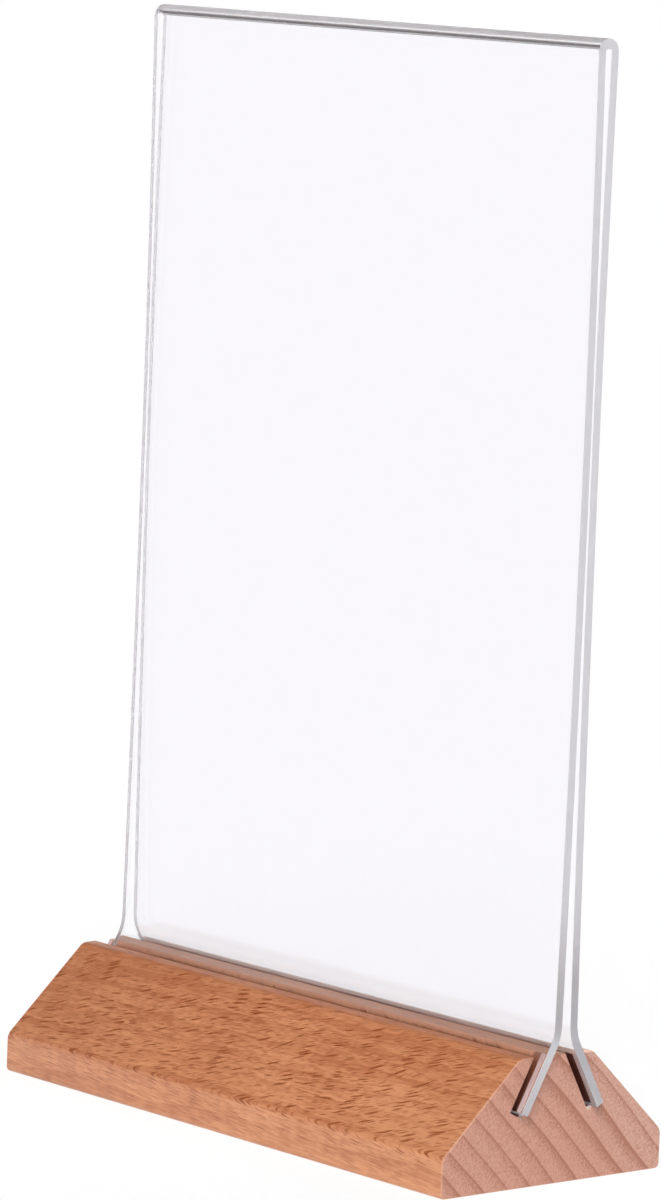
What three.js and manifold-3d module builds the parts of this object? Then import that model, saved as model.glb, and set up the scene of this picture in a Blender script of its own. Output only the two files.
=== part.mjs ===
// Counter-top sign holder: a clear acrylic sheet, folded over into a hairpin, stands in a solid beech base.
// The sheet's two feet flare outwards into two splayed slots, so it can't be lifted out:
// it slides out lengthwise, at either end of the base.
// Millimetres, +Z up. X runs along the base, Y points to the rear.
// The origin is the middle of the base's underside.
import * as THREE from "three";
import { mergeVertices } from "three/addons/utils/BufferGeometryUtils.js";
import Module from "manifold-3d";

// Beech base
const baseLength = 150;
const baseWidth = 61.5;
const baseHeight = 27.7;
const sideHeight = 8.5;
const topWidth = 20.4;
const undersideRadius = 1.2;
const slopeEdgeRadius = 2.6;
const endEasing = 0.4;

// Slots, cut down from the flat top and splayed away from each other
const slotSplay = THREE.MathUtils.degToRad(28.5);
const slotDepth = 13.7;
const slotPlay = 1.6;

// Printed sheet that the holder is made for, A5 upright, and its headroom under the fold
const insertHeight = 210;
const insertHeadroom = 0.3;

// Acrylic sheet
const sheetThickness = 2;
const sheetWidth = 147.4;
const foldInnerRadius = 0.8;
const waistRise = 133;
const waistGap = 0.4;
const flareRise = 6.7;
const flareGap = 2.3;
const flareRadius = 11;

// How the sheet sits: off centre along the slots, leaning on the rear wall of each of them
const sheetOffset = 3.2;
const seatGap = 0.3;

// How finely the curves are cut
const foldSteps = 14;
const bowSteps = 10;
const flareSteps = 8;
const cornerSteps = 5;
const easingSteps = 2;

// Centre line of the sheet's rear half, from the top of the fold down to the foot.
// The face bows in to the waist, where the two faces grip the insert, and out again above and below it.
const foldRadius = foldInnerRadius + sheetThickness / 2;
const foldCentre = new THREE.Vector2(0, baseHeight + insertHeight + insertHeadroom - foldInnerRadius);
const waist = new THREE.Vector2((waistGap + sheetThickness) / 2, baseHeight + waistRise);
const flareStart = new THREE.Vector2((flareGap + sheetThickness) / 2, baseHeight + flareRise);

// The upper bow touches the fold's circle and stands upright at the waist.
const upperRise = foldCentre.y - waist.y;
const upperRadius = (upperRise ** 2 + waist.x ** 2 - foldRadius ** 2) / (2 * (foldRadius - waist.x));
const upperCentre = new THREE.Vector2(waist.x + upperRadius, waist.y);
const upperTurn = Math.asin(upperRise / (upperRadius + foldRadius));

// The lower bow runs on from the waist to the start of the flare.
const lowerDrop = waist.y - flareStart.y;
const lowerSpread = flareStart.x - waist.x;
const lowerRadius = (lowerDrop ** 2 + lowerSpread ** 2) / (2 * lowerSpread);
const lowerCentre = new THREE.Vector2(waist.x + lowerRadius, waist.y);
const lowerTurn = Math.asin(lowerDrop / lowerRadius);

// The flare turns the face out to the slots' splay, and a straight leg carries on from its end.
const flareCentre = new THREE.Vector2(Math.cos(lowerTurn), Math.sin(lowerTurn))
  .multiplyScalar(flareRadius)
  .add(flareStart);
const flareEnd = new THREE.Vector2(Math.cos(slotSplay), Math.sin(slotSplay))
  .multiplyScalar(-flareRadius)
  .add(flareCentre);
const legDirection = new THREE.Vector2(Math.sin(slotSplay), -Math.cos(slotSplay));

// Each slot is centred on its leg, with half of the play on either side of it.
const slotWidth = sheetThickness + slotPlay;
const legAboveTop = (flareEnd.y - baseHeight) / Math.cos(slotSplay);
const slotMouth = legDirection.clone().multiplyScalar(legAboveTop).add(flareEnd);

// Moving the sheet back onto the slots' rear walls pushes its rear foot further down its slot.
const sheetShift = (slotPlay / 2 - seatGap) / Math.cos(slotSplay);
const footSink = sheetShift * Math.sin(slotSplay);
const legLength = legAboveTop + slotDepth - seatGap - footSink;

// One face of the sheet's rear half: the centre line moved outwards by half the thickness, or inwards.
function facePoints(outward) {
  const arcs = [
    [foldCentre, foldRadius + outward, Math.PI / 2, -upperTurn, true, foldSteps],
    [upperCentre, upperRadius - outward, Math.PI - upperTurn, Math.PI, false, bowSteps],
    [lowerCentre, lowerRadius - outward, Math.PI, Math.PI + lowerTurn, false, bowSteps],
    [flareCentre, flareRadius - outward, Math.PI + lowerTurn, Math.PI + slotSplay, false, flareSteps],
  ];
  const curved = arcs.flatMap(([centre, radius, from, to, clockwise, steps], index) => {
    const arc = new THREE.EllipseCurve(centre.x, centre.y, radius, radius, from, to, clockwise);
    return arc.getPoints(steps).slice(Math.min(index, 1));
  });
  const foot = legDirection.clone().multiplyScalar(legLength).add(curved.at(-1));
  return [...curved, foot];
}

// Section of the sheet: outer face, foot, inner face and foot, each with its mirror image.
function sheetSection() {
  const mirrored = (points) => points.map((point) => new THREE.Vector2(-point.x, point.y));
  const outer = facePoints(sheetThickness / 2);
  const inner = facePoints(-sheetThickness / 2);
  return new THREE.Shape([
    ...mirrored(outer).reverse(),
    ...outer.slice(1),
    ...inner.toReversed(),
    ...mirrored(inner).slice(1),
  ]);
}

// Section of the base, with its long edges rounded: most of all those above and below the slopes.
function baseSection() {
  const half = baseWidth / 2;
  const corners = [
    [-half, 0, undersideRadius],
    [half, 0, undersideRadius],
    [half, sideHeight, slopeEdgeRadius],
    [topWidth / 2, baseHeight, slopeEdgeRadius],
    [-topWidth / 2, baseHeight, slopeEdgeRadius],
    [-half, sideHeight, slopeEdgeRadius],
  ].map(([y, z, radius]) => ({ corner: new THREE.Vector2(y, z), radius }));
  return new THREE.Shape(roundedCorners(corners));
}

// Outline with every corner of a convex polygon replaced by an arc that touches both of its sides.
function roundedCorners(corners) {
  return corners.flatMap(({ corner, radius }, index) => {
    const before = corners.at(index - 1).corner.clone().sub(corner).normalize();
    const after = corners[(index + 1) % corners.length].corner.clone().sub(corner).normalize();
    const halfAngle = before.angleTo(after) / 2;
    const inward = before.clone().add(after).normalize();
    const centre = inward.multiplyScalar(radius / Math.sin(halfAngle)).add(corner);
    const sweep = Math.PI - 2 * halfAngle;
    const start = before.angle() + Math.PI / 2;
    const arc = new THREE.EllipseCurve(centre.x, centre.y, radius, radius, start, start + sweep);
    return arc.getPoints(cornerSteps);
  });
}

// A section drawn in Y and Z, extruded along X about its middle, with its end edges eased if asked.
function alongBase(section, length, easing = 0) {
  const geometry = new THREE.ExtrudeGeometry(section, {
    depth: length - 2 * easing,
    steps: 1,
    bevelEnabled: easing > 0,
    bevelSize: easing,
    bevelThickness: easing,
    bevelOffset: -easing,
    bevelSegments: easingSteps,
  });
  geometry.translate(0, 0, easing - length / 2);
  const lengthwise = new THREE.Matrix4().makeBasis(
    new THREE.Vector3(0, 1, 0),
    new THREE.Vector3(0, 0, 1),
    new THREE.Vector3(1, 0, 0),
  );
  return geometry.applyMatrix4(lengthwise);
}

const wasm = await Module();
wasm.setup();

function toSolid(geometry) {
  const bare = geometry.clone().deleteAttribute("normal").deleteAttribute("uv");
  const merged = mergeVertices(bare);
  return new wasm.Manifold(
    new wasm.Mesh({
      numProp: 3,
      vertProperties: merged.getAttribute("position").array,
      triVerts: new Uint32Array(merged.index.array),
    }),
  );
}

function toGeometry(solid) {
  const mesh = solid.getMesh();
  const geometry = new THREE.BufferGeometry();
  geometry.setAttribute("position", new THREE.BufferAttribute(mesh.vertProperties, 3));
  geometry.setIndex(new THREE.BufferAttribute(mesh.triVerts, 1));
  geometry.computeVertexNormals();
  return geometry;
}

// The saw's path for one slot: a board as thick as the slot, leaning out and running past both ends.
function slotCutter(side) {
  const cutLength = baseLength + 2 * slotDepth;
  const cutDepth = 2 * slotDepth;
  return new THREE.BoxGeometry(cutLength, slotWidth, cutDepth)
    .rotateX(side * slotSplay)
    .translate(0, side * slotMouth.x, slotMouth.y);
}

function baseGeometry() {
  const blank = toSolid(alongBase(baseSection(), baseLength, endEasing));
  const cut = [-1, 1].reduce((solid, side) => solid.subtract(toSolid(slotCutter(side))), blank);
  return toGeometry(cut);
}

const beech = new THREE.MeshStandardMaterial({ color: 0xc4825d, roughness: 0.55, metalness: 0 });
const acrylic = new THREE.MeshStandardMaterial({
  color: 0xf4f4f8,
  roughness: 0.04,
  metalness: 0,
  transparent: true,
  opacity: 0.3,
});

const base = new THREE.Mesh(baseGeometry(), beech);
base.name = "beech_base";

const sleeve = new THREE.Mesh(alongBase(sheetSection(), sheetWidth), acrylic);
sleeve.name = "acrylic_sleeve";
sleeve.position.set(sheetOffset, sheetShift, 0);

const signHolder = new THREE.Group();
signHolder.add(base, sleeve);

export default signHolder;
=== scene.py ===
# Counter-top sign holder: a clear acrylic sheet, folded over, standing in a splayed beech base.
# Metres, +Z up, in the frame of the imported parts. X runs along the base and Y points to the rear.
import math

import bmesh
import bpy
from mathutils import Matrix, Vector


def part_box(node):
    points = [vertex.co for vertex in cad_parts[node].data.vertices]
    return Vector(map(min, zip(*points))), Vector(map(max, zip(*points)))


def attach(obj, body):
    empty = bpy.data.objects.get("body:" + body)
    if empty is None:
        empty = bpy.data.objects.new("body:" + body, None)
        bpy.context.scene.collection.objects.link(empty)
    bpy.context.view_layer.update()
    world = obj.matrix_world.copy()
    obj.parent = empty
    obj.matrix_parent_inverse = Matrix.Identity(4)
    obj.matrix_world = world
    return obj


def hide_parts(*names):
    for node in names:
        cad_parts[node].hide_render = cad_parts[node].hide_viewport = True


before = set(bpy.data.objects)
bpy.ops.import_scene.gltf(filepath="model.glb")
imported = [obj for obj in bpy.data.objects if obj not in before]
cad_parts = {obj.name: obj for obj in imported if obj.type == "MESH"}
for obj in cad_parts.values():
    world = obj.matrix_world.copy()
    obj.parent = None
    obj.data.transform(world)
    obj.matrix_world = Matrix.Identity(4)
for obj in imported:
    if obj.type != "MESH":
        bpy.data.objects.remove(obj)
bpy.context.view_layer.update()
base_low, base_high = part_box("beech_base")
sheet_low, sheet_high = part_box("acrylic_sleeve")

bl_info = {
    "name": "Acrylic Sign Holder",
    "version": (1, 0, 0),
    "blender": (4, 5, 0),
    "location": "3D View > Sidebar > Sign Holder",
    "description": "Builds a folded acrylic sign sleeve in its beech base, and a studio to show it in",
    "category": "Object",
}

MM = 0.001

# How finely the curves are cut
FOLD_STEPS = 72
BOW_STEPS = 20
FLARE_STEPS = 24
CORNER_STEPS = 7
EASING_STEPS = 4

# The flat stretch beside a rounded edge, as a multiple of the rounding, that keeps the flats' shading flat
FLAT_REACH = 1.15

# Where the flat of a sawn end starts, inside its eased edge, as a multiple of the easing
END_REACH = 1.3

# Faces that meet at more than these angles keep a crisp edge between them
BASE_CREASE = math.radians(40)
SHEET_CREASE = math.radians(3)

# What the base's mesh carries for its material: the sawn ends, their eased edges, which take a painted
# highlight, and the slots, which take painted shade and painted light
BASE_MARKS = ("end_grain", "arris", "painted_slot_shading")

# How the base was cut from its tree: the way that the grain runs, and the way that the rays face
GRAIN_DIRECTION = Vector((1.0, 0.046, -0.034))
RAY_NORMAL = Vector((-0.066, 0.802, -0.595))

# Cloudiness of the wood, in waves to the millimetre along the grain, across the rays and through the rings
TRUNK_WAVES = (0.030, 0.035, 0.060)
FIBRE_WAVES = (0.16, 2.6, 1.6)
DRIFT_WAVES = (0.03, 0.20, 0.12)
PORE_WAVES = (0.4, 3.0, 1.5)

# How far the trunk's waviness moves the figure, in millimetres along the same three axes
TRUNK_SWING = (0.0, 1.5, 2.6)

# The mean of a noise's colour, about which the trunk swings to both sides
NOISE_MEAN = (0.5, 0.5, 0.5)

# Where in its year a ring starts to darken, and where the line that closes it starts, is full and fades
RING_DARKENS = 0.3
LINE_STARTS = 0.84
LINE_FULL = 0.95
LINE_FADES = 0.96

# Ray flecks of three sizes: their spacing, as a share of the largest ones', and their strength
FLECK_SIZES = ((1.0, 0.85), (0.62, 0.7), (0.4, 0.55))

# Share of the places that stay without a fleck, and the chance from which a fleck is at full strength
FLECK_CHANCE = 0.2
FLECK_FULL_CHANCE = 0.85

# How far the smallest and largest flecks reach, as shares of their spacing, and how much of that is dark
FLECK_REACH = (0.15, 0.34)
FLECK_CORE = 0.4

# Years of growth, counted outwards from the middle of the underside: where the flecks gain strength,
# where the long faces darken towards the top and the rear, and where it turns pale on the sawn ends
FLECK_YEARS = (-4.6, -3.4)
DARKER_YEARS = (-2.6, 2.4)
PALER_YEARS = (2.0, 5.5)

# Strength of the flecks in the innermost years
INNER_FLECKS = 0.65

# How far each cause takes the long faces towards the late wood's colour, and flecks towards their own
RING_SHADE = 0.35
FIBRE_SHADE = 0.55
DRIFT_SHADE = 0.35
YEAR_SHADE = 0.16
LENGTH_SHADE = 0.12
FLECK_SHADE = 0.95

# How far each cause takes the sawn ends towards their ring lines' colour, and how much the years differ
END_RING_SHADE = 0.7
END_LINE_SHADE = 0.8
END_PORE_SHADE = (-0.25, 0.65)
LEAST_RING_WEIGHT = 0.5
RING_WEIGHT_SPREAD = 0.7

# The middle of each noise, which is spread over the whole of what it drives
CLOUD_MIDDLE = (0.35, 0.65)
PORE_MIDDLE = (0.36, 0.66)
GLOSS_MIDDLE = (0.3, 0.7)

# Roughness of the oiled wood, and how much smoother the flecks are
WOOD_ROUGHNESS = (0.34, 0.44)
FLECK_SMOOTHNESS = 0.12

# Height of the fibres and depth of the flecks, and how much of it shows
GRAIN_RELIEF = 0.05 * MM
GRAIN_STRENGTH = 0.25

# How much of the painted highlight shows on the eased edges of the sawn ends
EDGE_HIGHLIGHT_SHARE = 0.35

# Half the width of the border of the painted light at the slots' ends, and the length over which the
# painted shade in the slots leaves their lips, away from the ends
SLOT_END_LIGHT_BORDER = 0.1 * MM
LIP_BORDER = 1.0 * MM

# The part of the crown's depth, from the top of the fold, that is matt all over
CROWN_CORE = 0.7

# Saw marks on the acrylic's cut edges, in waves to the metre, with their roughness and their clearness
SAW_WAVES = (100.0, 100.0, 900.0)
SAW_ROUGHNESS = (0.30, 0.45)
SAW_CLEARNESS = 0.65

# How squarely a face of the sheet looks sideways, or down, if a saw cut it
SIDE_FACING = 0.5
FOOT_FACING = -0.7

# A ray that enters one cut edge is thrown from face to face this often on its way to the other one
EDGE_BOUNCES = 96

# How softly the white walls give way to the dark ceiling, as a share of the sky's height
WALL_SOFTNESS = 0.07

# The photograph's own frame, and the side of the sensor that its long side fills
PICTURE_HEIGHT = 1200
SENSOR_WIDTH = 36.0

# How near and how far the camera sees
NEAREST_VIEW = 0.05
FARTHEST_VIEW = 100.0

FLOOR_ROUGHNESS = 0.9
WHITE = (1.0, 1.0, 1.0, 1.0)


def length(name, description, default):
    """A size in metres."""
    return bpy.props.FloatProperty(
        name=name,
        description=description,
        default=default,
        precision=5,
        subtype="DISTANCE",
        unit="LENGTH",
    )


def angle(name, description, degrees):
    """An angle, given in degrees and kept in radians."""
    return bpy.props.FloatProperty(
        name=name,
        description=description,
        default=math.radians(degrees),
        subtype="ANGLE",
        unit="ROTATION",
    )


def colour(name, description, default):
    """A linear colour without alpha."""
    return bpy.props.FloatVectorProperty(
        name=name,
        description=description,
        default=default,
        size=3,
        min=0.0,
        max=1.0,
        subtype="COLOR",
    )


def amount(name, description, default, subtype="NONE"):
    """A plain number."""
    return bpy.props.FloatProperty(
        name=name,
        description=description,
        default=default,
        min=0.0,
        subtype=subtype,
    )


class BaseSizes(bpy.types.PropertyGroup):
    """Sizes of the beech base and its two slots."""

    length: length("Length", "Length of the base", base_high.x - base_low.x)
    width: length("Width", "Width of the underside", base_high.y - base_low.y)
    height: length("Height", "Height of the flat top", base_high.z)
    side_height: length("Side height", "Height of the upright sides, below the slopes", 8.5 * MM)
    top_width: length("Top width", "Width of the flat top between the slopes", 20.4 * MM)
    underside_radius: length("Underside radius", "Rounding of the long edges underneath", 1.2 * MM)
    slope_radius: length("Slope edge radius", "Rounding of the edges above and below the slopes", 2.6 * MM)
    end_easing: length("End easing", "Rounding round the two sawn ends", 0.4 * MM)
    slot_splay: angle("Slot splay", "Lean of each slot away from upright", 28.5)
    slot_depth: length("Slot depth", "Depth of a slot along its slant", 13.7 * MM)
    slot_play: length("Slot play", "Room in a slot beside the sheet", 1.6 * MM)
    slot_arris: length("Slot arris", "Rounding of the slots' edges", 0.12 * MM)


class SheetSizes(bpy.types.PropertyGroup):
    """Sizes of the folded acrylic sheet."""

    width: length("Width", "Width of the sheet along the base", sheet_high.x - sheet_low.x)
    top: length("Top", "Height of the top of the fold", sheet_high.z)
    thickness: length("Thickness", "Thickness of the sheet", 2.0 * MM)
    fold_radius: length("Fold radius", "Inner radius of the fold", 0.8 * MM)
    waist_rise: length("Waist rise", "Height above the base at which the faces grip the insert", 133.0 * MM)
    waist_gap: length("Waist gap", "Gap between the faces at the waist", 0.4 * MM)
    flare_rise: length("Flare rise", "Height above the base at which the feet start to flare", 6.7 * MM)
    flare_gap: length("Flare gap", "Gap between the faces where the flare starts", 2.3 * MM)
    flare_radius: length("Flare radius", "Radius of the bend into each foot", 11.0 * MM)
    seat_gap: length("Seat gap", "Gap left between a foot and its slot", 0.3 * MM)
    arris: length("Arris", "Rounding of the cut edges", 0.15 * MM)


class BeechFinish(bpy.types.PropertyGroup):
    """Colours and figure of the beech."""

    early: colour("Early wood", "Pale wood of the faces along the grain", (0.665, 0.291, 0.139))
    late: colour("Late wood", "Darker wood that closes each ring", (0.47, 0.165, 0.070))
    fleck: colour("Ray flecks", "Dark flecks along the grain", (0.265, 0.058, 0.014))
    end_early: colour("End grain", "Pinkish wood on the sawn ends", (0.585, 0.293, 0.213))
    end_outer: colour("Outer end grain", "Paler sawn wood, nearer the bark", (0.610, 0.345, 0.270))
    end_late: colour("End rings", "Ring lines on the sawn ends", (0.38, 0.150, 0.092))
    # Painted highlight: a pale colour on the eased edges of the sawn ends, where the rounded edges catch
    # the light
    painted_edge_highlight: colour("Worn edges", "Pale arrises round the sawn ends", (0.70, 0.40, 0.27))
    # Greyer, paler colour of the ridge between the slots: bare wood with a painted sheen, where it meets
    # the light at a grazing angle
    ridge: colour("Ridge", "Bare wood of the ridge between the slots", (0.64, 0.345, 0.225))
    # Painted light: the flat top behind the slots made paler where the sheet keeps the lamp's light off it
    rear_top_light: colour("Rear top", "Pale bare wood of the flat top behind the slots", (0.87, 0.61, 0.49))
    # Painted shade deep in the slots and in their open ends, where little light reaches
    painted_slot_shading: colour("Slots", "Wood darkened by the saw inside the slots", (0.15, 0.045, 0.028))
    # Painted light: a pale patch at each end of a slot, where the lamp shines in past the sheet
    painted_slot_end_light: colour("Slot ends", "Pale wood that the saw tore where it left the slots", (0.80, 0.64, 0.60))
    # Length of the painted light at each end of a slot
    slot_end_light_reach: length("Torn reach", "Length of the torn wood at each end of a slot", 1.25 * MM)
    # Distance from an end within which the painted shade fills the slots up to their lips
    slot_shade_reach: length("Kerf reach", "Distance from an end to the slots' clean lips", 4.0 * MM)
    # Depth below the top that the slots' painted shade leaves out
    lip: length("Slot lip", "Depth of clean wood at the lips of the slots", 0.7 * MM)
    ring_width: length("Ring width", "Distance between two growth rings", 4.8 * MM)
    ring_lean: angle("Ring lean", "Turn of the rings about the grain, off square to the rays", 9.4)
    fleck_length: length("Fleck spacing", "Distance between flecks along the grain", 7.5 * MM)
    fleck_step: length("Fleck step", "Distance between layers of flecks", 0.20 * MM)


class AcrylicFinish(bpy.types.PropertyGroup):
    """Clear acrylic with sawn edges."""

    face: colour("Face", "Colour of light that has gone in and out of the sheet", (0.969, 0.962, 0.981))
    edge: colour("Edge", "Colour of the sawn, frosted edges", (0.72, 0.71, 0.74))
    crown: length("Crown", "Depth below the top of the fold that the heater left matt", 1.15 * MM)
    crown_face: colour("Crown face", "Smoky colour of the crown of the fold", (0.82, 0.80, 0.81))
    crown_matt: amount("Crown roughness", "Roughness of the crown of the fold", 0.9)
    index: amount("Index", "Refractive index", 1.49)


class StudioSettings(bpy.types.PropertyGroup):
    """Floor, light and camera."""

    floor: colour("Floor", "Colour of the floor", (0.20, 0.20, 0.20))
    floor_glow: amount("Floor glow", "Light that the floor gives by itself, like a lit table", 0.842)
    floor_size: length("Floor size", "Side of the floor", 40.0)
    walls: colour("Walls", "Light from the studio's white walls", (1.0, 1.0, 1.0))
    ceiling: colour("Ceiling", "Light from the studio's dark ceiling", (0.045, 0.032, 0.036))
    ceiling_tilt: angle("Ceiling tilt", "How far the dark ceiling hangs down towards the rear", 6.0)
    wall_top: angle("Wall top", "Height in the sky at which the walls end", 17.0)
    lamp_turn: angle("Lamp turn", "Lamp's turn from the front towards the right", 45.0)
    lamp_rise: angle("Lamp rise", "Lamp's angle above the floor", 45.0)
    lamp_spread: angle("Lamp spread", "How wide each distant soft lamp looks", 28.0)
    lamp_strength: amount("Lamp strength", "Watts on each square metre that faces the lamp", 2.38)
    fill_turn: angle("Fill turn", "Rear lamp's turn from the front towards the right", 190.0)
    fill_rise: angle("Fill rise", "Rear lamp's angle above the floor", 30.0)
    fill_strength: amount("Fill strength", "Watts on each square metre that faces the rear lamp", 1.0)
    azimuth: angle("Azimuth", "Camera's turn from the front towards the right", 49.94)
    elevation: angle("Elevation", "Camera's angle above the floor", 7.23)
    roll: angle("Roll", "Camera's tilt in its own picture", 2.21)
    distance: length("Distance", "Camera's distance from the plane it looks at", 1.3555)
    shift_right: length("Aim right", "Middle of the picture, right of the origin", 1.55 * MM)
    shift_up: length("Aim up", "Middle of the picture, above the origin", 113.55 * MM)
    focal_pixels: amount("Focal length", "Focal length in pixels of the whole picture", 6184.3, "PIXEL")


def socket(sockets, key):
    """Finds a node's socket by place, identifier or name."""
    if isinstance(key, int):
        return sockets[key]
    for one in sockets:
        if one.identifier == key:
            return one
    return sockets[key]


def add_node(tree, kind, inputs=None, **settings):
    """Adds a node with its settings, and fills its inputs with values or with links."""
    made = tree.nodes.new(kind)
    for name, value in settings.items():
        setattr(made, name, value)
    for key, value in (inputs or {}).items():
        target = socket(made.inputs, key)
        if isinstance(value, bpy.types.NodeSocket):
            tree.links.new(value, target)
        else:
            target.default_value = value
    return made


def calculate(tree, operation, first, second=0.0):
    """One step of arithmetic."""
    return add_node(tree, "ShaderNodeMath", {0: first, 1: second}, operation=operation).outputs[0]


def total(tree, first, *others):
    """The sum of several values."""
    for other in others:
        first = calculate(tree, "ADD", first, other)
    return first


def product(tree, first, *others):
    """The product of several values."""
    for other in others:
        first = calculate(tree, "MULTIPLY", first, other)
    return first


def combine(tree, operation, first, second):
    """One step of arithmetic on two vectors."""
    return add_node(tree, "ShaderNodeVectorMath", {0: first, 1: second}, operation=operation).outputs


def stretch(tree, vector, factors):
    """A vector with each part multiplied by its own factor."""
    return combine(tree, "MULTIPLY", vector, factors)["Vector"]


def noise(tree, vector, waves, detail, roughness=0.5):
    """Soft random clouds, with their own number of waves to the unit along each axis."""
    scaled = stretch(tree, vector, waves)
    inputs = {"Vector": scaled, "Scale": 1.0, "Detail": detail, "Roughness": roughness}
    return add_node(tree, "ShaderNodeTexNoise", inputs).outputs


def ramp(tree, value, start, end, low=0.0, high=1.0):
    """A smooth step from low at start to high at end."""
    inputs = {"Value": value, "From Min": start, "From Max": end, "To Min": low, "To Max": high}
    return add_node(tree, "ShaderNodeMapRange", inputs, interpolation_type="SMOOTHSTEP").outputs["Result"]


def mix_colours(tree, factor, first, second):
    """A blend of two colours."""
    inputs = {"Factor_Float": factor, "A_Color": first, "B_Color": second}
    made = add_node(tree, "ShaderNodeMix", inputs, data_type="RGBA")
    return socket(made.outputs, "Result_Color")


def opaque(rgb):
    """A colour with full alpha."""
    return (*rgb, 1.0)


def new_group(name, kind, inputs, outputs):
    """A node group with named sockets, its input node and its output node."""
    tree = bpy.data.node_groups.new(name, kind)
    for label, socket_type in inputs:
        tree.interface.new_socket(label, in_out="INPUT", socket_type=socket_type)
    for label, socket_type in outputs:
        tree.interface.new_socket(label, in_out="OUTPUT", socket_type=socket_type)
    return tree, tree.nodes.new("NodeGroupInput"), tree.nodes.new("NodeGroupOutput")


def new_material(name):
    """An empty material, its tree and its output node."""
    material = bpy.data.materials.new(name)
    material.use_nodes = True
    tree = material.node_tree
    tree.nodes.clear()
    return material, tree, tree.nodes.new("ShaderNodeOutputMaterial")


def new_piece(name, mesh):
    """An object at the origin that holds a finished mesh."""
    piece = bpy.data.objects.new(name, mesh)
    bpy.context.scene.collection.objects.link(piece)
    return piece


def arc_points(centre, radius, start, end, steps):
    """Points on an arc, both ends among them."""
    turns = [start + (end - start) * step / steps for step in range(steps + 1)]
    return [centre + radius * Vector((math.cos(turn), math.sin(turn))) for turn in turns]


def sheet_legs(base, sheet):
    """The rear leg's centre line in Y and Z, from the waist through the flare to the mouth of its slot."""
    flare_start = Vector(((sheet.flare_gap + sheet.thickness) / 2, base.height + sheet.flare_rise))
    waist = Vector(((sheet.waist_gap + sheet.thickness) / 2, base.height + sheet.waist_rise))
    drop = waist.y - flare_start.y
    spread = flare_start.x - waist.x
    lower_radius = (drop**2 + spread**2) / (2 * spread)
    lower_turn = math.asin(drop / lower_radius)
    flare_centre = flare_start + sheet.flare_radius * Vector((math.cos(lower_turn), math.sin(lower_turn)))
    splay = base.slot_splay
    flare_end = flare_centre - sheet.flare_radius * Vector((math.cos(splay), math.sin(splay)))
    direction = Vector((math.sin(splay), -math.cos(splay)))
    above_top = (flare_end.y - base.height) / math.cos(splay)
    return {
        "waist": waist,
        "lower_radius": lower_radius,
        "lower_turn": lower_turn,
        "flare_centre": flare_centre,
        "flare_end": flare_end,
        "direction": direction,
        "above_top": above_top,
        "mouth": flare_end + above_top * direction,
    }


def rear_half(base, sheet):
    """Centre line of the sheet's rear half, from the top of the fold to the foot, in Y and Z."""
    legs = sheet_legs(base, sheet)
    waist = legs["waist"]
    fold_radius = sheet.fold_radius + sheet.thickness / 2
    fold_centre = Vector((0.0, sheet.top - sheet.thickness - sheet.fold_radius))
    rise = fold_centre.y - waist.y
    upper_radius = (rise**2 + waist.x**2 - fold_radius**2) / (2 * (fold_radius - waist.x))
    upper_turn = math.asin(rise / (upper_radius + fold_radius))
    upper_centre = waist + Vector((upper_radius, 0.0))
    lower_centre = waist + Vector((legs["lower_radius"], 0.0))
    lower_turn = legs["lower_turn"]
    half_turn = math.pi
    flare_from = half_turn + lower_turn
    flare_to = half_turn + base.slot_splay
    arcs = [
        (fold_centre, fold_radius, half_turn / 2, -upper_turn, FOLD_STEPS),
        (upper_centre, upper_radius, half_turn - upper_turn, half_turn, BOW_STEPS),
        (lower_centre, legs["lower_radius"], half_turn, flare_from, BOW_STEPS),
        (legs["flare_centre"], sheet.flare_radius, flare_from, flare_to, FLARE_STEPS),
    ]
    points = [arc_points(*arcs[0])[0]]
    for arc in arcs:
        points += arc_points(*arc)[1:]
    shift = (base.slot_play / 2 - sheet.seat_gap) / math.cos(base.slot_splay)
    sink = shift * math.sin(base.slot_splay)
    leg_length = legs["above_top"] + base.slot_depth - sheet.seat_gap - sink
    points.append(legs["flare_end"] + leg_length * legs["direction"])
    return points


def corner_arc(before, corner, after, radius):
    """An outline's corner as an arc, with a point on the flat at either side that keeps the flats flat."""
    if radius == 0.0:
        return [corner]
    to_before = (before - corner).normalized()
    to_after = (after - corner).normalized()
    half_angle = to_before.angle(to_after) / 2
    reach = radius / math.tan(half_angle)
    centre = corner + (to_before + to_after).normalized() * (radius / math.sin(half_angle))
    first = corner + to_before * reach - centre
    last = corner + to_after * reach - centre
    turn = first.angle_signed(last)
    points = [corner + to_before * reach * FLAT_REACH]
    for step in range(CORNER_STEPS + 1):
        points.append(centre + Matrix.Rotation(-turn * step / CORNER_STEPS, 2) @ first)
    points.append(corner + to_after * reach * FLAT_REACH)
    return points


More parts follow.
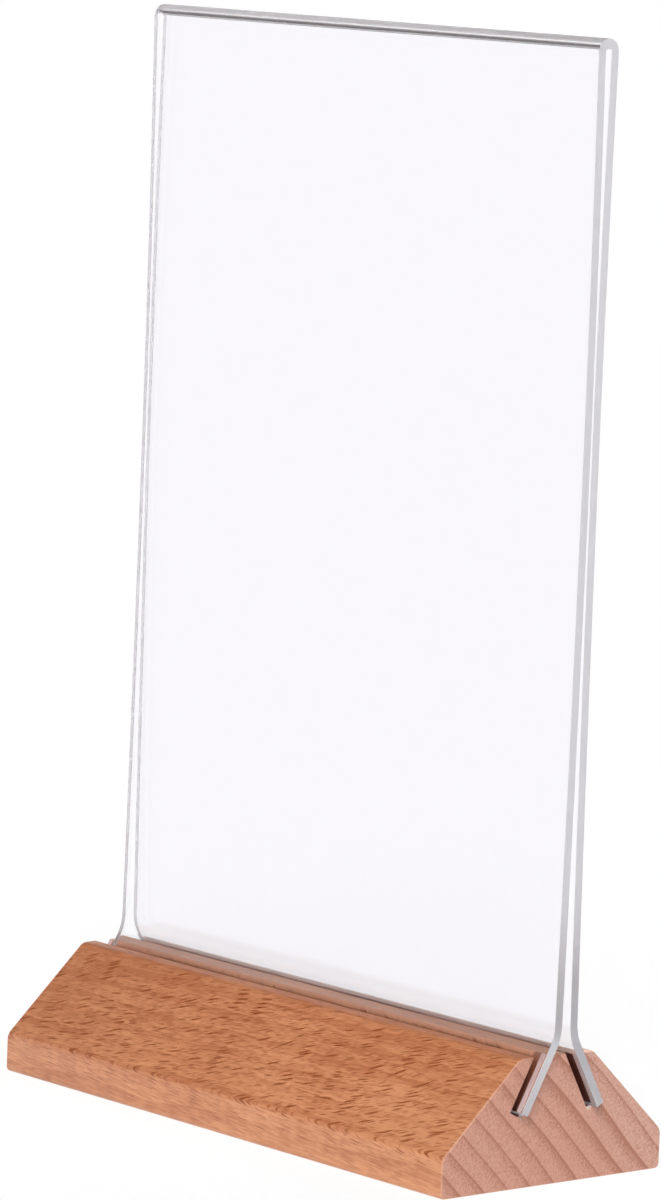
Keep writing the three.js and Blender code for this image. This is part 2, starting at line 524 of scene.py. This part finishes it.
def base_outline(base, sheet):
    """The base's section, anticlockwise in Y and Z: points with their end easing and their share of the
    slots, where shade and light are painted.
    """
    legs = sheet_legs(base, sheet)
    along = legs["direction"]
    across = Vector((-along.y, along.x))
    slot_half = (sheet.thickness + base.slot_play) / 2
    floor_middle = legs["mouth"] + along * base.slot_depth
    outer_mouth = Vector((legs["mouth"].x + slot_half / math.cos(base.slot_splay), base.height))
    inner_mouth = Vector((legs["mouth"].x - slot_half / math.cos(base.slot_splay), base.height))
    half = base.width / 2
    rear = [
        (Vector((half, 0.0)), base.underside_radius, False),
        (Vector((half, base.side_height)), base.slope_radius, False),
        (Vector((base.top_width / 2, base.height)), base.slope_radius, False),
        (outer_mouth, base.slot_arris, True),
        (floor_middle + across * slot_half, 0.0, True),
        (floor_middle - across * slot_half, 0.0, True),
        (inner_mouth, base.slot_arris, True),
    ]
    front = [(Vector((-spot.x, spot.y)), radius, in_slot) for spot, radius, in_slot in reversed(rear)]
    corners = rear + front
    outline = []
    for index, (spot, radius, in_slot) in enumerate(corners):
        before = corners[index - 1][0]
        after = corners[(index + 1) % len(corners)][0]
        easing = base.slot_arris / 2 if in_slot else base.end_easing
        for point in corner_arc(before, spot, after, radius):
            below_top = (base.height - point.y) / base.slot_arris
            outline.append((point, easing, min(below_top, 1.0) if in_slot else 0.0))
    return outline


def inset_steps(outline):
    """For each point of an outline, the step inwards that moves both of its edges in by one."""
    steps = []
    for index, (point, _, _) in enumerate(outline):
        before = (point - outline[index - 1][0]).normalized()
        after = (outline[(index + 1) % len(outline)][0] - point).normalized()
        inward_before = Vector((-before.y, before.x))
        inward_after = Vector((-after.y, after.x))
        steps.append((inward_before + inward_after) / (1.0 + inward_before.dot(inward_after)))
    return steps


def end_rings(base, outline, side):
    """Rings of points over the easing of one end and onto its flat, each point with its marks."""
    steps = inset_steps(outline)
    rings = []
    for step in range(EASING_STEPS + 1):
        turn = math.pi / 2 * step / EASING_STEPS
        rings.append((1.0 - math.cos(turn), 1.0 - math.sin(turn), step / EASING_STEPS))
    rings.append((END_REACH, 0.0, 1.0))
    made = []
    for inset, depth, end_grain in rings:
        ring = []
        for (point, easing, painted_slot_shading), inward in zip(outline, steps):
            spot = point + inward * easing * inset
            x = side * (base.length / 2 - easing * depth)
            arris = 1.0 - abs(2.0 * end_grain - 1.0)
            ring.append((Vector((x, spot.x, spot.y)), end_grain, arris, painted_slot_shading * (1.0 - end_grain)))
        made.append(ring)
    return made


def base_mesh(base, sheet):
    """The beech base as one closed mesh with its marks, made in millimetres and then scaled."""
    outline = base_outline(base, sheet)
    rings = list(reversed(end_rings(base, outline, -1))) + end_rings(base, outline, 1)
    shape = bmesh.new()
    layers = [shape.verts.layers.float.new(name) for name in BASE_MARKS]
    loops = []
    for ring in rings:
        loop = []
        for spot, *marks in ring:
            vert = shape.verts.new(spot / MM)
            for layer, mark in zip(layers, marks):
                vert[layer] = mark
            loop.append(vert)
        loops.append(loop)
    for near, far in zip(loops, loops[1:]):
        for index in range(len(near)):
            after = (index + 1) % len(near)
            shape.faces.new((near[index], near[after], far[after], far[index]))
    ends = [shape.faces.new(reversed(loops[0])), shape.faces.new(loops[-1])]
    shape.normal_update()
    bmesh.ops.triangulate(shape, faces=ends)
    mesh = bpy.data.meshes.new("solid_beech_base")
    shape.to_mesh(mesh)
    shape.free()
    mesh.transform(Matrix.Scale(MM, 4))
    mesh.shade_smooth()
    mesh.set_sharp_from_angle(angle=BASE_CREASE)
    return mesh


def trunk_position(tree, position):
    """A place in the trunk, in millimetres along the grain, across the rays and through the rings."""
    across_rays = RAY_NORMAL.normalized()
    along_grain = (GRAIN_DIRECTION - across_rays * GRAIN_DIRECTION.dot(across_rays)).normalized()
    through_rings = along_grain.cross(across_rays)
    turned = Matrix((along_grain, across_rays, through_rings)).to_euler()
    inputs = {"Vector": position, "Rotation": turned, "Scale": (1.0 / MM, 1.0 / MM, 1.0 / MM)}
    straight = add_node(tree, "ShaderNodeMapping", inputs).outputs["Vector"]
    clouds = noise(tree, straight, TRUNK_WAVES, detail=1.0)["Color"]
    waves = combine(tree, "SUBTRACT", clouds, NOISE_MEAN)["Vector"]
    return combine(tree, "ADD", straight, stretch(tree, waves, TRUNK_SWING))["Vector"]


def growth_rings(tree, grown):
    """The year of growth, how dark its ring has become, and the line that closes the ring."""
    finish = bpy.context.scene.beech_finish
    outwards = Vector((0.0, math.sin(finish.ring_lean), math.cos(finish.ring_lean)))
    years = combine(tree, "DOT_PRODUCT", grown, outwards * (MM / finish.ring_width))["Value"]
    ring = calculate(tree, "FRACT", years)
    darkness = ramp(tree, ring, RING_DARKENS, 1.0)
    line = product(tree, ramp(tree, ring, LINE_STARTS, LINE_FULL), ramp(tree, ring, 1.0, LINE_FADES))
    return years, darkness, line


def ray_flecks(tree, grown, years):
    """Rays: thin ribbons that stand across the rings, which a cut face shows as flecks."""
    finish = bpy.context.scene.beech_finish
    flecks = 0.0
    for size, strength in FLECK_SIZES:
        spacing = (MM / (finish.fleck_length * size), MM / (finish.fleck_step * size), 0.0)
        cells = add_node(
            tree,
            "ShaderNodeTexVoronoi",
            {"Vector": stretch(tree, grown, spacing), "Scale": 1.0},
            voronoi_dimensions="2D",
        ).outputs
        chance = add_node(tree, "ShaderNodeSeparateColor", {"Color": cells["Color"]}).outputs["Red"]
        reach = ramp(tree, chance, FLECK_CHANCE, 1.0, *FLECK_REACH)
        spot = ramp(tree, calculate(tree, "DIVIDE", cells["Distance"], reach), 1.0, FLECK_CORE)
        spot = product(tree, spot, ramp(tree, chance, FLECK_CHANCE, FLECK_FULL_CHANCE, 0.0, strength))
        flecks = calculate(tree, "MAXIMUM", spot, flecks)
    return product(tree, flecks, ramp(tree, years, *FLECK_YEARS, INNER_FLECKS, 1.0))


def long_grain_colour(tree, grown, years, darkness, fibres, flecks):
    """Colour of the faces along the grain, which darkens slowly towards the top, the rear and the left-hand
    end.
    """
    finish = bpy.context.scene.beech_finish
    half_length = bpy.context.scene.base_sizes.length / 2 / MM
    along = add_node(tree, "ShaderNodeSeparateXYZ", {"Vector": grown}).outputs["X"]
    drift = noise(tree, grown, DRIFT_WAVES, detail=2.0)["Fac"]
    shade = total(
        tree,
        product(tree, darkness, RING_SHADE),
        ramp(tree, fibres, *CLOUD_MIDDLE, 0.0, FIBRE_SHADE),
        ramp(tree, drift, *CLOUD_MIDDLE, 0.0, DRIFT_SHADE),
        ramp(tree, years, *DARKER_YEARS, -YEAR_SHADE, YEAR_SHADE),
        ramp(tree, along, half_length, -half_length, -LENGTH_SHADE, LENGTH_SHADE),
    )
    wood = mix_colours(tree, shade, opaque(finish.early), opaque(finish.late))
    return mix_colours(tree, product(tree, flecks, FLECK_SHADE), wood, opaque(finish.fleck))


def end_grain_colour(tree, grown, years, darkness, line):
    """Colour of the sawn ends: rings of different weight, paler nearer the bark, speckled with pores."""
    finish = bpy.context.scene.beech_finish
    pores = noise(tree, grown, PORE_WAVES, detail=4.0, roughness=0.75)["Fac"]
    year = calculate(tree, "FLOOR", years)
    chance = add_node(tree, "ShaderNodeTexWhiteNoise", {"W": year}, noise_dimensions="1D").outputs["Value"]
    weight = total(tree, product(tree, chance, RING_WEIGHT_SPREAD), LEAST_RING_WEIGHT)
    rings = total(tree, product(tree, darkness, END_RING_SHADE), product(tree, line, END_LINE_SHADE))
    shade = total(tree, product(tree, rings, weight), ramp(tree, pores, *PORE_MIDDLE, *END_PORE_SHADE))
    outer = ramp(tree, years, *PALER_YEARS)
    pale = mix_colours(tree, outer, opaque(finish.end_early), opaque(finish.end_outer))
    return mix_colours(tree, shade, pale, opaque(finish.end_late))


def beech_figure():
    """Growth rings, ray flecks and fibres of beech, as a solid that any cut face shows."""
    tree, given, result = new_group(
        "beech_figure",
        "ShaderNodeTree",
        [("Position", "NodeSocketVector"), ("End Grain", "NodeSocketFloat")],
        [
            ("Colour", "NodeSocketColor"),
            ("Roughness", "NodeSocketFloat"),
            ("Height", "NodeSocketFloat"),
        ],
    )
    grown = trunk_position(tree, given.outputs["Position"])
    years, darkness, line = growth_rings(tree, grown)
    flecks = ray_flecks(tree, grown, years)
    fibres = noise(tree, grown, FIBRE_WAVES, detail=3.0)["Fac"]
    long_colour = long_grain_colour(tree, grown, years, darkness, fibres, flecks)
    end_colour = end_grain_colour(tree, grown, years, darkness, line)
    roughness = ramp(tree, fibres, *GLOSS_MIDDLE, *WOOD_ROUGHNESS)
    shown = {
        "Colour": mix_colours(tree, given.outputs["End Grain"], long_colour, end_colour),
        "Roughness": calculate(tree, "SUBTRACT", roughness, product(tree, flecks, FLECK_SMOOTHNESS)),
        "Height": calculate(tree, "SUBTRACT", fibres, flecks),
    }
    for name, value in shown.items():
        tree.links.new(value, result.inputs[name])
    return tree


def beech_material():
    """Oiled beech, planed along the grain and sawn at the ends and in the slots, with painted light and
    shade on its end edges, top and slots.
    """
    scene = bpy.context.scene
    base = scene.base_sizes
    finish = scene.beech_finish
    material, tree, result = new_material("oiled_beech")
    position = tree.nodes.new("ShaderNodeTexCoord").outputs["Object"]
    place = add_node(tree, "ShaderNodeSeparateXYZ", {"Vector": position}).outputs
    end_grain, arris, painted_slot_shading = [
        add_node(tree, "ShaderNodeAttribute", attribute_name=name).outputs["Fac"] for name in BASE_MARKS
    ]
    figure = add_node(
        tree,
        "ShaderNodeGroup",
        {"Position": position, "End Grain": end_grain},
        node_tree=beech_figure(),
    ).outputs

    # Painted shade darkens the slots below their lips, and near the ends all of them; a painted patch of
    # light makes the slots' very ends pale, where the lamp shines in
    along = calculate(tree, "ABSOLUTE", place["X"])
    light_starts = base.length / 2 - finish.slot_end_light_reach
    clean = base.length / 2 - finish.slot_shade_reach
    near_end = ramp(tree, along, clean, clean + LIP_BORDER)
    deep = ramp(tree, place["Z"], base.height - finish.lip, base.height - 2 * finish.lip)
    dark = product(tree, painted_slot_shading, calculate(tree, "MAXIMUM", deep, near_end))
    painted_slot_end_light = product(tree, painted_slot_shading, ramp(tree, along, light_starts - SLOT_END_LIGHT_BORDER, light_starts + SLOT_END_LIGHT_BORDER))

    # The flat top between the slots is bare wood with a painted sheen, and behind the slots it has painted
    # light
    mouth = sheet_legs(base, scene.sheet_sizes)["mouth"].x
    middle = ramp(tree, calculate(tree, "ABSOLUTE", place["Y"]), mouth, mouth - finish.lip)
    ridge_top = ramp(tree, place["Z"], base.height - 2 * finish.lip, base.height)
    ridge = product(tree, middle, ridge_top, calculate(tree, "SUBTRACT", 1.0, end_grain))
    rear = ramp(tree, place["Y"], mouth, mouth + finish.lip)
    rear_top_light = product(tree, rear, ramp(tree, place["Z"], base.height - finish.lip, base.height))

    wood = figure["Colour"]
    # Painted highlight on the end edges, painted sheen and light on the flat top, and painted shade and
    # light in the slots, over the wood's own colour
    zones = (
        (product(tree, arris, EDGE_HIGHLIGHT_SHARE), finish.painted_edge_highlight),
        (ridge, finish.ridge),
        (rear_top_light, finish.rear_top_light),
        (dark, finish.painted_slot_shading),
        (painted_slot_end_light, finish.painted_slot_end_light),
    )
    for share, tone in zones:
        wood = mix_colours(tree, share, wood, opaque(tone))
    bump = add_node(
        tree,
        "ShaderNodeBump",
        {"Strength": GRAIN_STRENGTH, "Distance": GRAIN_RELIEF, "Height": figure["Height"]},
    )
    shader = add_node(
        tree,
        "ShaderNodeBsdfPrincipled",
        {
            "Base Color": wood,
            "Roughness": figure["Roughness"],
            "Normal": bump.outputs["Normal"],
        },
    )
    tree.links.new(shader.outputs["BSDF"], result.inputs["Surface"])
    return material


def acrylic_material():
    """Clear cast acrylic with polished faces, matt and smoky along the crown of the fold."""
    finish = bpy.context.scene.acrylic_finish
    material, tree, result = new_material("clear_acrylic")
    position = tree.nodes.new("ShaderNodeTexCoord").outputs["Object"]
    height = add_node(tree, "ShaderNodeSeparateXYZ", {"Vector": position}).outputs["Z"]
    top = bpy.context.scene.sheet_sizes.top
    crown = ramp(tree, height, top - finish.crown, top - finish.crown * CROWN_CORE)
    shader = add_node(
        tree,
        "ShaderNodeBsdfPrincipled",
        {
            "Base Color": mix_colours(tree, crown, opaque(finish.face), opaque(finish.crown_face)),
            "Roughness": product(tree, crown, finish.crown_matt),
            "IOR": finish.index,
            "Transmission Weight": 1.0,
        },
    )
    tree.links.new(shader.outputs["BSDF"], result.inputs["Surface"])
    return material


def sawn_edge_material():
    """Frosted acrylic of the sawn edges, with fine saw marks across them."""
    finish = bpy.context.scene.acrylic_finish
    material, tree, result = new_material("sawn_acrylic_edge")
    position = tree.nodes.new("ShaderNodeTexCoord").outputs["Object"]
    marks = noise(tree, position, SAW_WAVES, detail=2.0)["Fac"]
    shader = add_node(
        tree,
        "ShaderNodeBsdfPrincipled",
        {
            "Base Color": opaque(finish.edge),
            "Roughness": ramp(tree, marks, *GLOSS_MIDDLE, *SAW_ROUGHNESS),
            "IOR": finish.index,
            "Transmission Weight": SAW_CLEARNESS,
        },
    )
    tree.links.new(shader.outputs["BSDF"], result.inputs["Surface"])
    return material


def floor_material():
    """Pale matt floor that glows by itself."""
    studio = bpy.context.scene.studio_settings
    material, tree, result = new_material("pale_floor")
    shader = add_node(
        tree,
        "ShaderNodeBsdfPrincipled",
        {
            "Base Color": opaque(studio.floor),
            "Roughness": FLOOR_ROUGHNESS,
            "Specular IOR Level": 0.0,
            "Emission Color": WHITE,
            "Emission Strength": studio.floor_glow,
        },
    )
    tree.links.new(shader.outputs["BSDF"], result.inputs["Surface"])
    return material


def folded_sheet_tree():
    """Sweeps the sheet's section, as wide as the sheet and as thick, along its folded centre line."""
    tree, given, result = new_group(
        "folded_sheet",
        "GeometryNodeTree",
        [
            ("Centre Line", "NodeSocketGeometry"),
            ("Width", "NodeSocketFloat"),
            ("Thickness", "NodeSocketFloat"),
            ("Arris", "NodeSocketFloat"),
            ("Slot Top", "NodeSocketFloat"),
            ("Faces", "NodeSocketMaterial"),
            ("Edges", "NodeSocketMaterial"),
        ],
        [("Sheet", "NodeSocketGeometry")],
    )
    section = add_node(
        tree,
        "GeometryNodeCurvePrimitiveQuadrilateral",
        {"Width": given.outputs["Width"], "Height": given.outputs["Thickness"]},
    )
    eased = add_node(
        tree,
        "GeometryNodeFilletCurve",
        {"Curve": section.outputs["Curve"], "Count": CORNER_STEPS, "Radius": given.outputs["Arris"]},
        mode="POLY",
    )
    swept = add_node(
        tree,
        "GeometryNodeCurveToMesh",
        {"Curve": given.outputs["Centre Line"], "Profile Curve": eased.outputs["Curve"], "Fill Caps": True},
    )
    realized = add_node(tree, "GeometryNodeRealizeInstances", {"Geometry": swept.outputs["Mesh"]})
    clear = add_node(
        tree,
        "GeometryNodeSetMaterial",
        {"Geometry": realized.outputs["Geometry"], "Material": given.outputs["Faces"]},
    )
    # The sheet was sawn along both sides, and at its two feet inside the slots
    normal = tree.nodes.new("GeometryNodeInputNormal")
    facing = add_node(tree, "ShaderNodeSeparateXYZ", {"Vector": normal.outputs["Normal"]}).outputs
    position = tree.nodes.new("GeometryNodeInputPosition")
    rise = add_node(tree, "ShaderNodeSeparateXYZ", {"Vector": position.outputs["Position"]}).outputs["Z"]
    sides = calculate(tree, "GREATER_THAN", calculate(tree, "ABSOLUTE", facing["X"]), SIDE_FACING)
    downwards = calculate(tree, "LESS_THAN", facing["Z"], FOOT_FACING)
    in_slot = calculate(tree, "LESS_THAN", rise, given.outputs["Slot Top"])
    sawn = calculate(tree, "MAXIMUM", sides, product(tree, downwards, in_slot))
    finished = add_node(
        tree,
        "GeometryNodeSetMaterial",
        {"Geometry": clear.outputs["Geometry"], "Selection": sawn, "Material": given.outputs["Edges"]},
    )
    tree.links.new(finished.outputs["Geometry"], result.inputs["Sheet"])
    return tree


def centre_line(base, sheet):
    """The sheet's centre line, from the front foot over the fold to the rear foot, as a curve object."""
    rear = rear_half(base, sheet)
    front = [Vector((-spot.x, spot.y)) for spot in reversed(rear)]
    path = front + rear[1:]
    middle = (sheet_low + sheet_high) / 2
    curve = bpy.data.curves.new("sheet_centre_line", "CURVE")
    curve.dimensions = "3D"
    line = curve.splines.new("POLY")
    line.points.add(len(path) - 1)
    for point, spot in zip(line.points, path):
        point.co = (middle.x, spot.x + middle.y, spot.y, 1.0)
    return new_piece("sheet_centre_line", curve)


def sheet_mesh(base, sheet):
    """The folded sheet as a plain mesh, swept by its node tree."""
    line = centre_line(base, sheet)
    tree = folded_sheet_tree()
    modifier = line.modifiers.new("Folded sheet", "NODES")
    modifier.node_group = tree
    values = {
        "Width": sheet.width,
        "Thickness": sheet.thickness,
        "Arris": sheet.arris,
        "Slot Top": base.height,
        "Faces": acrylic_material(),
        "Edges": sawn_edge_material(),
    }
    for item in tree.interface.items_tree:
        if item.in_out == "INPUT" and item.name in values:
            modifier[item.identifier] = values[item.name]
    graph = bpy.context.evaluated_depsgraph_get()
    mesh = bpy.data.meshes.new_from_object(line.evaluated_get(graph), depsgraph=graph)
    mesh.name = "folded_acrylic_sheet"
    line.modifiers.remove(modifier)
    bpy.data.objects.remove(line)
    mesh.shade_smooth()
    mesh.set_sharp_from_angle(angle=SHEET_CREASE)
    return mesh


class BuildBase(bpy.types.Operator):
    """Builds the beech base with its two splayed slots."""

    bl_idname = "sign_holder.build_base"
    bl_label = "Beech Base"

    def execute(self, context):
        """Makes the base and sets it in the frame."""
        scene = context.scene
        piece = new_piece("solid_beech_base", base_mesh(scene.base_sizes, scene.sheet_sizes))
        piece.data.materials.append(beech_material())
        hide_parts("beech_base")
        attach(piece, "base")
        return {"FINISHED"}


class BuildSheet(bpy.types.Operator):
    """Builds the folded acrylic sheet."""

    bl_idname = "sign_holder.build_sheet"
    bl_label = "Folded Acrylic Sheet"

    def execute(self, context):
        """Makes the sheet and sets it in the frame."""
        scene = context.scene
        piece = new_piece("folded_acrylic_sheet", sheet_mesh(scene.base_sizes, scene.sheet_sizes))
        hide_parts("acrylic_sleeve")
        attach(piece, "sleeve")
        return {"FINISHED"}


class SetStage(bpy.types.Operator):
    """Lays the floor, lights the studio and places the camera."""

    bl_idname = "sign_holder.set_stage"
    bl_label = "Studio"

    def execute(self, context):
        """Makes the floor, the light and the camera."""
        studio = context.scene.studio_settings
        lay_floor(studio)
        light_studio(studio)
        place_camera(studio)
        context.scene.view_settings.view_transform = "Standard"
        follow_light_through_acrylic(context.scene.cycles)
        return {"FINISHED"}


def follow_light_through_acrylic(cycles):
    """Lets light bounce along inside the sheet to its cut edges, and lets the lamps shine through it."""
    cycles.max_bounces = EDGE_BOUNCES
    cycles.transmission_bounces = EDGE_BOUNCES
    cycles.glossy_bounces = EDGE_BOUNCES
    cycles.blur_glossy = 0.0


def lay_floor(studio):
    """A plain floor under the base."""
    half = studio.floor_size / 2
    mesh = bpy.data.meshes.new("studio_floor")
    corners = [(-half, -half, 0.0), (half, -half, 0.0), (half, half, 0.0), (-half, half, 0.0)]
    mesh.from_pydata(corners, [], [(0, 1, 2, 3)])
    mesh.materials.append(floor_material())
    new_piece("studio_floor", mesh)


def light_studio(studio):
    """Low white walls all round, a dark ceiling, a soft lamp near the camera and a weaker one behind."""
    world = bpy.data.worlds.new("studio_light")
    world.use_nodes = True
    tree = world.node_tree
    tree.nodes.clear()
    direction = tree.nodes.new("ShaderNodeTexCoord").outputs["Generated"]
    ceiling_middle = Vector((0.0, math.sin(studio.ceiling_tilt), math.cos(studio.ceiling_tilt)))
    height = combine(tree, "DOT_PRODUCT", direction, ceiling_middle)["Value"]
    edge = math.sin(studio.wall_top)
    overhead = ramp(tree, height, edge - WALL_SOFTNESS, edge + WALL_SOFTNESS)
    light = mix_colours(tree, overhead, opaque(studio.walls), opaque(studio.ceiling))
    glow = add_node(tree, "ShaderNodeBackground", {"Color": light})
    result = tree.nodes.new("ShaderNodeOutputWorld")
    tree.links.new(glow.outputs["Background"], result.inputs["Surface"])
    bpy.context.scene.world = world

    hang_lamp("soft_lamp", studio.lamp_spread, studio.lamp_strength, studio.lamp_turn, studio.lamp_rise)
    hang_lamp("fill_lamp", studio.lamp_spread, studio.fill_strength, studio.fill_turn, studio.fill_rise)


def hang_lamp(name, spread, strength, turn, rise):
    """A distant soft lamp that shines on the middle of the scene."""
    lamp = bpy.data.lights.new(name, "SUN")
    lamp.angle = spread
    lamp.energy = strength
    fitting = bpy.data.objects.new(name, lamp)
    bpy.context.scene.collection.objects.link(fitting)
    towards = sky_direction(turn, rise)
    fitting.location = towards
    fitting.rotation_euler = towards.to_track_quat("Z", "Y").to_euler()


def sky_direction(turn, rise):
    """Unit vector that points turned from the front towards the right, and raised above the floor."""
    return Vector((math.sin(turn) * math.cos(rise), -math.cos(turn) * math.cos(rise), math.sin(rise)))


def place_camera(studio):
    """A long lens, at the photograph's angle."""
    back = sky_direction(studio.azimuth, studio.elevation)
    level = Vector((math.cos(studio.azimuth), math.sin(studio.azimuth), 0.0))
    upright = back.cross(level)
    right = math.cos(studio.roll) * level + math.sin(studio.roll) * upright
    up = math.cos(studio.roll) * upright - math.sin(studio.roll) * level
    lens = bpy.data.cameras.new("studio_camera")
    lens.sensor_width = SENSOR_WIDTH
    lens.lens = SENSOR_WIDTH * studio.focal_pixels / PICTURE_HEIGHT
    lens.clip_start = NEAREST_VIEW
    lens.clip_end = FARTHEST_VIEW
    camera = bpy.data.objects.new("studio_camera", lens)
    bpy.context.scene.collection.objects.link(camera)
    camera.matrix_world = Matrix((right, up, back)).transposed().to_4x4()
    camera.location = studio.shift_right * right + studio.shift_up * up + studio.distance * back
    bpy.context.scene.camera = camera


class SignHolderPanel(bpy.types.Panel):
    """Lists what the sign holder is built from."""

    bl_idname = "VIEW3D_PT_sign_holder"
    bl_label = "Sign Holder"
    bl_space_type = "VIEW_3D"
    bl_region_type = "UI"
    bl_category = "Sign Holder"

    def draw(self, context):
        """Draws each piece's button above its settings."""
        groups = {
            BuildBase: ("base_sizes", "beech_finish"),
            BuildSheet: ("sheet_sizes", "acrylic_finish"),
            SetStage: ("studio_settings",),
        }
        for operator, names in groups.items():
            box = self.layout.box()
            box.operator(operator.bl_idname)
            for name in names:
                settings = getattr(context.scene, name)
                for field in settings.__annotations__:
                    box.prop(settings, field)


SETTINGS = {
    "base_sizes": BaseSizes,
    "sheet_sizes": SheetSizes,
    "beech_finish": BeechFinish,
    "acrylic_finish": AcrylicFinish,
    "studio_settings": StudioSettings,
}
CLASSES = (*SETTINGS.values(), BuildBase, BuildSheet, SetStage, SignHolderPanel)


def register():
    """Registers the classes, and hangs the settings on the scene."""
    for one in CLASSES:
        bpy.utils.register_class(one)
    for name, group in SETTINGS.items():
        setattr(bpy.types.Scene, name, bpy.props.PointerProperty(type=group))


def unregister():
    """Takes the settings and the classes away again."""
    for name in SETTINGS:
        delattr(bpy.types.Scene, name)
    for one in reversed(CLASSES):
        bpy.utils.unregister_class(one)


def main():
    """Builds the sign holder and its studio."""
    register()
    bpy.ops.sign_holder.build_base()
    bpy.ops.sign_holder.build_sheet()
    bpy.ops.sign_holder.set_stage()
    bpy.context.view_layer.update()


if __name__ == "__main__":
    main()
